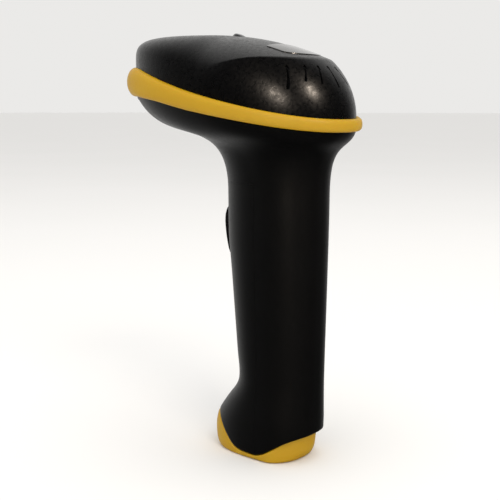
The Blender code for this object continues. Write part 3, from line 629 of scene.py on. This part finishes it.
def lamp_outline(grow=0.0):
    """Plan of the status lens: an oval, longer fore and aft."""
    t = turn(48)
    return (LAMP_HALF + grow) * np.sin(t), (LAMP_HALF_LENGTH + grow) * np.cos(t)


def lamp_hole():
    """Oval bar through the roof round the status lens."""
    side, ahead = lamp_outline(GAP / 2)
    bottom, top = ROOF_Z - 6, ROOF_Z + 4
    rows = [(0, bottom), (1, bottom), (1, top), (0, top)]
    grid = np.array([[(x * s, -(LAMP_AHEAD + a * s), z) for x, a in zip(side, ahead)]
                     for s, z in rows])
    return skin(grid)


def make_top_cover():
    """Rings at radius share cos(t), t running from 0 at the rim to a quarter turn at the
    crown, packed closely where the crease runs; then the same dome a wall smaller inside."""
    angle = turn(264)[None, :]
    crease = np.arccos(crease_share(angle))
    near = np.minimum(0.09, crease * 0.6)
    dense_from, dense_share = 0.4, 0.25
    dense_to = dense_from + dense_share
    step = np.linspace(0, 1, 120)[:, None]
    below = (crease - near) * step / dense_from
    along = crease - near + 2 * near * (step - dense_from) / dense_share
    above = crease + near + (np.pi / 2 - crease - near) * (step - dense_to) / (1 - dense_to)
    t = np.where(step < dense_from, below, np.where(step < dense_to, along, above))
    share = np.cos(t)
    share[-1] = 0
    outer = polar(head_radius(angle) * share, angle, dome_height(angle, share), HEAD_MID)
    t = np.linspace(np.pi / 2, 0, 40)[:, None]
    share = np.cos(t)
    share[0] = 0
    rim = dome_rim(angle)
    lower = rim + (dome_height(angle, share) - rim) * 0.93 - WALL * np.sin(t) * 0.9
    inner = polar(head_radius(angle, -WALL) * share, angle, lower, HEAD_MID)
    mesh = skin(np.concatenate([outer, inner]), wrap_rows=True)
    numbers = range(-3, 4)
    mesh = carved(mesh, [mouth_cutter(GAP / 2)])
    mesh = carved(mesh, [vent_slot(n) for n in numbers] + [lamp_hole()])
    mesh = carved(mesh, [slot_funnel(n) for n in numbers])
    return piece("top_cover_moulding", mesh, "casing", SPARK_ABS, ["top_cover"])


def make_bumper_band():
    """A horseshoe: a super-elliptic bulge carried round the head, shrinking at its two ends.

    The bulge stands out by proud * cos(t)^a and reaches half * sin(t)^b up and down. The ends
    lie where the head's outline is as wide as the mouth, found by halving the angle's range.
    """
    round_length = 3.0
    low, high = 0.0, math.pi / 2
    for _ in range(40):
        middle = (low + high) / 2
        inside = head_radius(middle) * math.sin(middle) < MOUTH_HALF
        low, high = (middle, high) if inside else (low, middle)
    angle = (low + np.linspace(0, 1, 361) * (2 * np.pi - 2 * low))[:, None]
    base = head_radius(angle)
    ahead = HEAD_MID + base * np.cos(angle)
    half = band_half(ahead) * (1 + 0.15 * smooth(0.68, 0.88, along_head(ahead)))
    bulge = 0.9 * smooth(0.75, 0.95, along_head(ahead))
    middle = band_middle(ahead)
    from_end = np.minimum(angle - low, 2 * np.pi - low - angle) * base
    end = np.sqrt(np.clip(1 - (1 - from_end / round_length).clip(0, 1) ** 2, 0.03, 1))
    proud = (BAND_REAR_PROUD + BAND_EXTRA_PROUD * along_head(ahead) + bulge) * (0.25 + 0.75 * end)
    t = np.linspace(-np.pi / 2, np.pi / 2, 33)[None, :]
    rounder = smooth(0.75, 0.95, along_head(ahead))
    out = proud * np.cos(t).clip(0, 1) ** (0.62 + 0.38 * rounder)
    rise = np.sign(np.sin(t)) * np.abs(np.sin(t)) ** (0.85 + 0.15 * rounder)
    up = half * (0.8 + 0.2 * end) * rise
    out = np.concatenate([out, np.full_like(base, -WALL), np.full_like(base, -WALL)], 1)
    up = np.concatenate([up, half * 0.8, -half * 0.8], 1)
    grid = polar(base + out, angle, middle + up, HEAD_MID)
    ends = [np.repeat(grid[i].mean(0)[None, None, :], grid.shape[1], 1) for i in (0, -1)]
    mesh = skin(np.concatenate([ends[0], grid, ends[1]]))
    return piece("bumper_band_moulding", mesh, "casing", YELLOW_TPE,
                 ["bumper_band"], sharp=50)


def handle_rings(inset, handle_levels, neck_levels):
    """Rings up the handle, then along a cubic curve from the top of the handle to the band.

    The curve's control points are start, bend straight above it, belly under the rim, and end.
    """
    angle = turn(240)[None, :]
    nose = (1 + np.cos(angle)) / 2
    foot = handle_radius(angle, 6.0)
    low = boot_line(foot * np.cos(angle)) + GAP / 2
    top = NECK_Z + NECK_TILT * nose
    step = np.linspace(0, 1, handle_levels)[:, None] ** 1.2
    height = low + (top - low) * step
    edge = 0.5
    chamfer = 0.0 if inset else edge * (1 - (height - low) / edge).clip(0, 1)
    shaft = polar(handle_radius(angle, height, -inset) - chamfer, angle, height)
    rim_ahead = HEAD_MID + head_radius(angle) * np.cos(angle)
    rim = band_middle(rim_ahead) - band_half(rim_ahead) - GAP / 2
    start = shaft[-1:]
    end = polar(head_radius(angle, -inset), angle, rim, HEAD_MID)
    lift = NECK_LIFT * (rim - top)
    bend = start + np.stack([0 * lift, 0 * lift, lift], -1)
    tuck = BELLY_TUCK + BELLY_NOSE_TUCK * nose
    belly = polar(head_radius(angle, -inset) * (1 - tuck), angle,
                  rim - BELLY_DROP - BELLY_NOSE_DROP * nose, HEAD_MID)
    step = np.linspace(0, 1, neck_levels)[1:, None, None]
    back = 1 - step
    neck = (back ** 3 * start + 3 * back ** 2 * step * bend
            + 3 * back * step ** 2 * belly + step ** 3 * end)
    return np.concatenate([shaft, neck])


def screw_seat(node, axis, depth=9.0):
    """Round recess over a screw's head."""
    _, radius, place = screw_place(node, axis)
    return revolved([(0, depth), (radius + GAP, depth), (radius + GAP, -2.0), (0, -2.0)], place, 36)


def screw_place(node, axis):
    """Face, head radius and placing matrix of a screw that faces along axis."""
    low, high = corners(node)
    middle = (low + high) / 2
    face = np.where(np.array(axis) < 0, low, np.where(np.array(axis) > 0, high, middle))
    radius = float(np.median(high - low)) / 2
    turned = Vector(axis).to_track_quat("Z", "Y").to_matrix().to_4x4()
    return face, radius, Matrix.Translation(Vector(face) * MM) @ turned


def make_handle():
    """One hollow shell of rings, split behind SPLIT_AHEAD and below SPLIT_TOP into two."""
    outer = handle_rings(0.0, 110, 70)
    inner = handle_rings(WALL, 30, 24)[::-1]
    mesh = skin(np.concatenate([outer, inner]), wrap_rows=True)
    wide = 60.0
    behind = block((-wide, -SPLIT_AHEAD + TIGHT_GAP / 2, -20), (wide, wide, 240))
    above = block((-wide, -2 * wide, SPLIT_TOP), (wide, -SPLIT_AHEAD + 2 * TIGHT_GAP, 240))
    seats = [screw_seat(f"head_screw_{n}", (0, 0, -1)) for n in (1, 2)]
    rear = carved(mesh.copy(), [behind], "INTERSECT")
    upper = carved(mesh.copy(), [above], "INTERSECT")
    upper = carved(upper, [mouth_cutter(GAP / 2)])
    upper = carved(upper, seats)
    both = carved(rear, [upper], "UNION")
    piece("rear_body_moulding", both, "casing", MATT_ABS, ["lower_body"])

    front = block((-wide, -2 * wide, -20),
                  (wide, -SPLIT_AHEAD - TIGHT_GAP / 2, SPLIT_TOP - TIGHT_GAP))
    grip = carved(mesh, [front], "INTERSECT")
    low, high = TRIGGER_SLOT
    opening = block((-TRIGGER_HALF - 0.5, -36, low), (TRIGGER_HALF + 0.5, -16, high), 0.8)
    grip = carved(grip, [opening, screw_seat("grip_screw_1", (0, -1, 0)),
                         screw_seat("grip_screw_2", (0, -1, 0))])
    piece("grip_moulding", grip, "casing", MATT_ABS, ["grip_front"])


def make_butt_boot():
    """Cup that follows the handle's section, its rear stepping in by HEEL_INSET, with a rounded
    bottom edge: the radius shrinks by r(1 - sqrt(1 - (1 - z/r)^2)) below z = r."""
    angle = turn(240)[None, :]
    foot = handle_radius(angle, 6.0)
    line = boot_line(foot * np.cos(angle)) - GAP / 2
    inset = HEEL_INSET * heel_weight(angle)
    step = np.linspace(0, 1, 40)[:, None] ** 1.5
    height = line * step
    edge = 1.3
    tuck = edge * (1 - np.sqrt(1 - (1 - height / edge).clip(0, 1) ** 2))
    lip = 0.35 * (1 - (line - height) / 0.5).clip(0, 1) ** 2
    outer = polar(handle_radius(angle, height) - inset - tuck * 0.95 - lip, angle, height)
    step = np.linspace(1, 0, 8)[:, None]
    height = BOOT_FLOOR + (line - BOOT_FLOOR) * step
    inner = polar(handle_radius(angle, height) - inset - 2.6, angle, height)
    centre = np.zeros((1, angle.size, 3))
    floor = centre + (0, 0, BOOT_FLOOR)
    mesh = skin(np.concatenate([centre, outer, inner, floor]))
    low, high = corners("contact_block")
    port = block((low[0] - GAP, low[1] - GAP, -4), (high[0] + GAP, high[1] + GAP, 6), 0.4)
    mesh = carved(mesh, [port, screw_seat("boot_screw", (0, 0, -1), 3.0)])
    piece("butt_boot_moulding", mesh, "casing", YELLOW_TPE, ["butt_boot"], sharp=40)


def make_label():
    """Film that follows the roof: its outline scaled towards its middle, ring by ring. The
    rear edge bows back with the crease, and the corners are rounded."""
    t = turn(160)
    shape = (np.abs(np.cos(t)) ** 12 + np.abs(np.sin(t)) ** 12) ** (-1 / 12)
    across = (shape * np.cos(t)).clip(-1, 1)
    along = (shape * np.sin(t)).clip(-1, 1)
    side = LABEL_HALF * across
    rear = LABEL_REAR + LABEL_BOW * np.abs(side / LABEL_HALF) ** 2.4
    ahead = rear + (LABEL_AHEAD - rear) * (along + 1) / 2
    middle = (LABEL_AHEAD - 16.0) / 2
    share = np.concatenate([np.linspace(0, 0.985, 26), [1.0, 1.0], np.linspace(1.0, 0, 12)])
    lift = np.concatenate([np.full(26, 0.3), [0.18, -0.1], np.full(12, -0.1)])
    x = side[None, :] * share[:, None]
    u = middle + (ahead - middle)[None, :] * share[:, None]
    grid = np.stack([x, -u, dome_at(x, u) + lift[:, None]], -1)
    piece("label_film", skin(grid), "casing", LABEL_FILM, ["label_plate"], 50)


def make_lamp_lens():
    """Oval lens that stands highest at its front and slopes to the roof at its rear."""
    side, ahead = lamp_outline()
    sunk = 0.1
    rise = float(pipe_high[2]) - 180.3 - sunk
    share = np.concatenate([np.linspace(0, 0.9, 10), [0.97, 1.0, 1.0, 0.0]])[:, None]
    x, a = side[None, :] * share, ahead[None, :] * share
    swell = (1 - share ** 4) * (0.35 + 0.65 * smooth(-1.0, 0.55, a / LAMP_HALF_LENGTH))
    z = dome_at(x, LAMP_AHEAD + a) - sunk + rise * swell
    z[-2:] = 176.0
    piece("status_lens", skin(np.stack([x, -(LAMP_AHEAD + a), z], -1)), "casing",
          LENS_CAP, ["light_pipe"], 50)


# ---------------------------------------------------------------- window
def nose_surface(side):
    """How far ahead the head's outline lies at a distance from its middle plane."""
    share = np.minimum(np.abs(side) / HEAD_HALF, 0.999)
    return HEAD_MID + (HEAD_NOSE - HEAD_MID) * (1 - share ** NOSE_POWER) ** (1 / NOSE_POWER)


def make_bezel():
    """A frame swept round the window: out along the nose, over a rounded lip and down a
    bevel to the pane."""
    back, pane_seat = 58.0, 60.2
    rows = [(0.0, None), (0.0, 0.7)]
    rows += [(0.35 - 0.35 * math.cos(math.radians(a)), 0.7 - 0.7 * math.sin(math.radians(a)))
             for a in (20, 45, 70, 90)]
    rows += [(1.2, 0.0), (1.7, 0.15), (2.0, 0.5)]
    loops = []
    for inset, below in rows:
        side, up = rounded_loop(BEZEL_HALF - inset, BEZEL_HALF_HEIGHT - inset * 0.8,
                                MOUTH_CORNER - inset * 0.4)
        ahead = np.full_like(side, back) if below is None else nose_surface(side) - below
        loops.append(np.stack([side, -ahead, WINDOW_Z + up], -1))
    side, up = rounded_loop(WINDOW_HALF, WINDOW_HALF_HEIGHT, 1.8)
    for ahead in (pane_seat, back):
        loops.append(np.stack([side, np.full_like(side, -ahead), WINDOW_Z + up], -1))
    piece("bezel_moulding", skin(np.array(loops), wrap_rows=True), "casing",
          SMOOTH_ABS, ["window_bezel"])


def make_window():
    """Flat pane with a rounded outline and a small bevel all round."""
    low, high = corners("scan_window")
    middle = (low + high) / 2
    half, half_height = (high - low)[0] / 2, (high - low)[2] / 2
    front, rear = low[1], high[1]
    loops = []
    for scale, inset, y in ((0, 0, front), (1, 0.25, front), (1, 0, front + 0.25),
                            (1, 0, rear - 0.25), (1, 0.25, rear), (0, 0, rear)):
        side, up = rounded_loop(half - inset, half_height - inset, 1.6)
        loops.append(np.stack([side * scale, np.full_like(side, y), middle[2] + up * scale], -1))
    piece("window_pane", skin(np.array(loops)), "casing", WINDOW, ["scan_window"])


# ---------------------------------------------------------------- trigger, screws, contacts
def make_trigger():
    """Side outline carried across the trigger's width. Near its two sides the outline shrinks
    along a quarter circle, and its finger face dips by a hollow in the middle."""
    face = np.array([(2.9, -3.9), (3.0, -5.1), (4.6, -5.35), (6.6, -5.8), (7.5, -6.6), (8.0, -7.6),
                     (8.6, -9.4), (8.8, -11.0), (8.85, -13.0), (8.7, -15.0), (8.4, -17.5),
                     (8.0, -20.0), (7.5, -22.3), (6.9, -24.5), (6.2, -26.2), (5.4, -27.2)])
    inner = np.array([(3.6, -27.2), (3.9, -18.0), (1.6, -16.6), (1.6, -13.4), (3.7, -12.0),
                      (0.8, -6.0)])
    barrel = np.array(fillet((0, 0), 3.0, 260, 0, 19))
    outline = np.concatenate([face, inner, barrel])
    centre = np.array([4.6, -14.0])
    tangent = np.roll(outline, -1, 0) - np.roll(outline, 1, 0)
    normal = np.stack([tangent[:, 1], -tangent[:, 0]], -1)
    normal /= np.linalg.norm(normal, axis=1)[:, None]
    normal *= np.sign(((outline - centre) * normal).sum(1).mean())
    across = np.concatenate([[-1], -np.cos(np.linspace(0, np.pi, 33)), [1]]) * TRIGGER_HALF
    edge = 0.9
    near = ((np.abs(across) - (TRIGGER_HALF - edge)) / edge).clip(0, 1)
    shrink = edge * (1 - np.sqrt(1 - near ** 2))
    dip = 0.5 * (1 - (across / TRIGGER_HALF) ** 2)
    on_face = np.zeros(len(outline))
    on_face[2:len(face) - 1] = 1
    points = outline[None] - normal[None] * shrink[:, None, None] * 0.6
    points[..., 0] -= dip[:, None] * on_face[None]
    points[[0, -1]] = centre
    grid = np.stack([np.broadcast_to(across[:, None], points.shape[:2]),
                     -(PIVOT_AHEAD + points[..., 0]), PIVOT_Z + points[..., 1]], -1)
    turned = Matrix.Translation(Vector((0, -PIVOT_AHEAD, PIVOT_Z)) * MM) @ Matrix.Rotation(
        math.pi / 2, 4, "Y")
    reach = TRIGGER_HALF + 4
    radius = float(pin_high[2] - pin_low[2]) / 2 + 0.2
    bore = revolved([(0, -reach), (radius, -reach), (radius, reach), (0, reach)], turned, 36)
    gap = block((-2.6, -PIVOT_AHEAD - 4, PIVOT_Z - 3.6), (2.6, -PIVOT_AHEAD + 8, PIVOT_Z + 6.4))
    mesh = carved(skin(grid), [bore])
    mesh = carved(mesh, [gap])
    piece("trigger_lever", mesh, "trigger", SMOOTH_ABS, ["trigger"], 40)


def make_screw(node, axis):
    """Domed head with a cross recess, and a shank below it."""
    low, high = corners(node)
    _, radius, place = screw_place(node, axis)
    length = float((high - low).max())
    dome = [(0, 0), (radius * 0.55, -0.06), (radius * 0.82, -0.22)]
    dome += fillet((radius - 0.3, -0.6), 0.3, 50, 0, 4)
    shank = [(radius, -1.15), (0.95, -1.2), (0.95, 0.8 - length), (0.3, -length), (0, -length)]
    mesh = revolved(dome + shank, place, 40)
    arm = radius * 0.6
    cross = [moved(block((-arm, -0.27, -0.8), (arm, 0.27, 1)), place),
             moved(block((-0.27, -arm, -0.8), (0.27, arm, 1)), place)]
    mesh = carved(carved(mesh, cross[:1]), cross[1:])
    piece(f"{node}_plated", mesh, "casing", ZINC, [node])


def make_contact(number):
    """Turned pin with a domed face that meets the cradle."""
    node = f"charge_contact_{number}"
    low, high = corners(node)
    radius = float(high[0] - low[0]) / 2
    foot = Vector(((low[0] + high[0]) / 2, (low[1] + high[1]) / 2, low[2]))
    place = Matrix.Translation(foot * MM)
    length = float(high[2] - low[2])
    dome = fillet((0, radius * 1.4), radius * 1.4, -90, -46, 8)
    edge = (radius, dome[-1][1] + 0.1)
    profile = [(abs(r), z) for r, z in dome] + [edge, (radius, length), (0, length)]
    piece(f"contact_pin_{number}", revolved(profile, place, 32), "casing", GOLD,
          [node])


def dress_inner_nodes():
    """Give every carried-over node its real material."""
    dressed = {
        "contact_block": EPOXY, "window_gasket": FOAM, "beeper_gasket": FOAM,
        "engine_housing": CASTING, "camera_lens": GLASS, "aimer_lens": GLASS,
        "lamp_lens_left": GLASS, "lamp_lens_right": GLASS, "engine_board": BOARD,
        "engine_bracket": STEEL, "main_board": BOARD, "decoder_chip": EPOXY,
        "radio_module": STEEL, "beeper": EPOXY, "status_led": LENS_CAP, "handle_ribbon": RIBBON,
        "switch_board": BOARD, "trigger_switch": EPOXY, "battery_cell": SLEEVE,
        "battery_cradle": NYLON, "cell_contact_top": GOLD, "cell_contact_spring": STEEL,
        "charge_board": BOARD, "trigger_pin": STEEL, "trigger_spring": STEEL,
        "switch_plunger": SMOOTH_ABS,
    }
    for node, finish in dressed.items():
        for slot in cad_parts[node].material_slots:
            slot.material = finish


# ---------------------------------------------------------------- stage, light and camera
VIEW_TURN = math.radians(127)          # azimuth of the camera round the scanner
VIEW_REACH = 0.380
VIEW_HEIGHT = 0.149
VIEW_YAW = math.radians(1.909)
VIEW_PITCH = math.radians(-8.84)
VIEW_LENS = 64.8
FAR = Vector((-math.sin(VIEW_TURN), math.cos(VIEW_TURN), 0))
RIGHT = Vector((math.cos(VIEW_TURN), math.sin(VIEW_TURN), 0))


def make_camera():
    camera = bpy.data.objects.new("view", bpy.data.cameras.new("view"))
    bpy.context.scene.collection.objects.link(camera)
    bpy.context.scene.camera = camera
    camera.data.lens = VIEW_LENS
    camera.data.sensor_width = 36.0
    camera.data.clip_start = 0.01
    camera.location = -FAR * VIEW_REACH + Vector((0, 0, VIEW_HEIGHT))
    level = FAR * math.cos(VIEW_YAW) - RIGHT * math.sin(VIEW_YAW)
    look = level * math.cos(VIEW_PITCH) + Vector((0, 0, math.sin(VIEW_PITCH)))
    camera.rotation_euler = look.to_track_quat("-Z", "Y").to_euler()


def make_floor():
    """Wide pale sheet, faintly uneven like a painted studio floor."""
    reach = 40.0
    mesh = bpy.data.meshes.new("floor")
    mesh.from_pydata([(-reach, -reach, 0), (reach, -reach, 0), (reach, reach, 0),
                      (-reach, reach, 0)], [], [(0, 1, 2, 3)])
    paint = bpy.data.materials.new("pale_floor_paint")
    paint.use_nodes = True
    tree = paint.node_tree
    shader = tree.nodes["Principled BSDF"]
    place = add(tree, "ShaderNodeTexCoord").outputs["Object"]
    cloud = add(tree, "ShaderNodeTexNoise", {"Vector": place, "Scale": 3.0, "Detail": 2.0})
    mix = add(tree, "ShaderNodeMix", {"Factor": cloud.outputs["Fac"], "A": linear("#e9e8e5"),
                                      "B": linear("#eceae8")}, data_type="RGBA")
    tree.links.new(mix.outputs[2], shader.inputs["Base Color"])
    shader.inputs["Roughness"].default_value = 0.9
    shader.inputs["Specular IOR Level"].default_value = 0.1
    mesh.materials.append(paint)
    floor = bpy.data.objects.new("floor", mesh)
    bpy.context.scene.collection.objects.link(floor)
    floor.visible_glossy = False


def make_surroundings():
    """A pale studio that is bright behind the scanner and dim on the camera's side."""
    world = bpy.data.worlds.new("studio")
    bpy.context.scene.world = world
    world.use_nodes = True
    tree = world.node_tree
    tree.nodes.clear()
    path = add(tree, "ShaderNodeLightPath").outputs
    place = add(tree, "ShaderNodeTexCoord").outputs["Generated"]
    bright_side = FAR - RIGHT * 0.3 + Vector((0, 0, 0.25))
    facing = add(tree, "ShaderNodeVectorMath", {0: place, 1: bright_side},
                 operation="DOT_PRODUCT")
    ramp = add(tree, "ShaderNodeMapRange", {"Value": facing.outputs["Value"], "From Min": 0.15,
                                            "From Max": 1.0, "To Min": 0.012, "To Max": 0.9},
               interpolation_type="SMOOTHSTEP")
    mirrored = add(tree, "ShaderNodeBackground", {"Color": linear("#fbfaf8"),
                                                  "Strength": ramp.outputs["Result"]})
    seen = add(tree, "ShaderNodeBackground", {"Color": linear("#f6f5f3"), "Strength": 0.90})
    fill = add(tree, "ShaderNodeBackground", {"Color": linear("#ffffff"), "Strength": 1.0})
    first = add(tree, "ShaderNodeMixShader", {0: path["Is Diffuse Ray"], 1: mirrored.outputs[0],
                                              2: fill.outputs[0]})
    last = add(tree, "ShaderNodeMixShader", {0: path["Is Camera Ray"], 1: first.outputs[0],
                                             2: seen.outputs[0]})
    add(tree, "ShaderNodeOutputWorld", {"Surface": last.outputs[0]})


def lamp(name, place, target, size, power, colour="#ffffff"):
    """Soft rectangular lamp at a place, aimed at a target, both in metres."""
    data = bpy.data.lights.new(name, "AREA")
    data.shape = "RECTANGLE"
    data.size, data.size_y = size
    data.energy = power
    data.color = linear(colour)[:3]
    made = bpy.data.objects.new(name, data)
    bpy.context.scene.collection.objects.link(made)
    made.location = place
    made.rotation_euler = (Vector(target) - Vector(place)).to_track_quat("-Z", "Y").to_euler()
    made.visible_camera = False
    return made


def glint_place(angle, share, reach):
    """Where a lamp must hang for its reflection to be seen at a point on the cover."""
    def on_cover(turned, scaled):
        return polar(head_radius(turned) * scaled, turned, dome_height(turned, scaled), HEAD_MID)
    step = 0.004
    spot = Vector(on_cover(angle, share))
    along = Vector(on_cover(angle + step, share)) - Vector(on_cover(angle - step, share))
    inwards = Vector(on_cover(angle, share - step)) - Vector(on_cover(angle, share + step))
    normal = along.cross(inwards).normalized()
    normal *= math.copysign(1, normal.z)
    spot *= MM
    look = (spot - bpy.context.scene.camera.location).normalized()
    return spot, spot + look.reflect(normal) * reach


def make_lights():
    """Two broad soft lamps that the gloss doesn't show, and two small warm ones that only the
    gloss shows, as glints on the rear of the cover."""
    centre = Vector((0, -0.02, 0.12))
    overhead = lamp("overhead_box", (0.1, 0.1, 1.5), centre, (1.2, 1.2), 6.0)
    key = lamp("rear_key", centre + Vector((0.5, 0.9, 0.9)), centre, (0.5, 0.5), 5.5, "#fff8ee")
    overhead.visible_glossy = key.visible_glossy = False
    for name, angle, share, size, power in (("warm_lamp_left", 146.5, 0.985, 0.15, 2.0),
                                            ("warm_lamp_right", 162.5, 0.963, 0.09, 3.2)):
        spot, place = glint_place(math.radians(angle), share, 0.9)
        made = lamp(name, place, spot, (size, size), power, "#ffeedb")
        made.visible_diffuse = False


make_camera()
make_top_cover()
make_bumper_band()
make_handle()
make_butt_boot()
make_label()
make_lamp_lens()
make_bezel()
make_window()
make_trigger()
for screw_node, screw_axis in (("grip_screw_1", (0, -1, 0)), ("grip_screw_2", (0, -1, 0)),
                               ("head_screw_1", (0, 0, -1)), ("head_screw_2", (0, 0, -1)),
                               ("boot_screw", (0, 0, -1))):
    make_screw(screw_node, screw_axis)
for contact_number in range(1, 5):
    make_contact(contact_number)
dress_inner_nodes()
make_floor()
make_surroundings()
make_lights()

bpy.context.scene.view_settings.view_transform = "Standard"
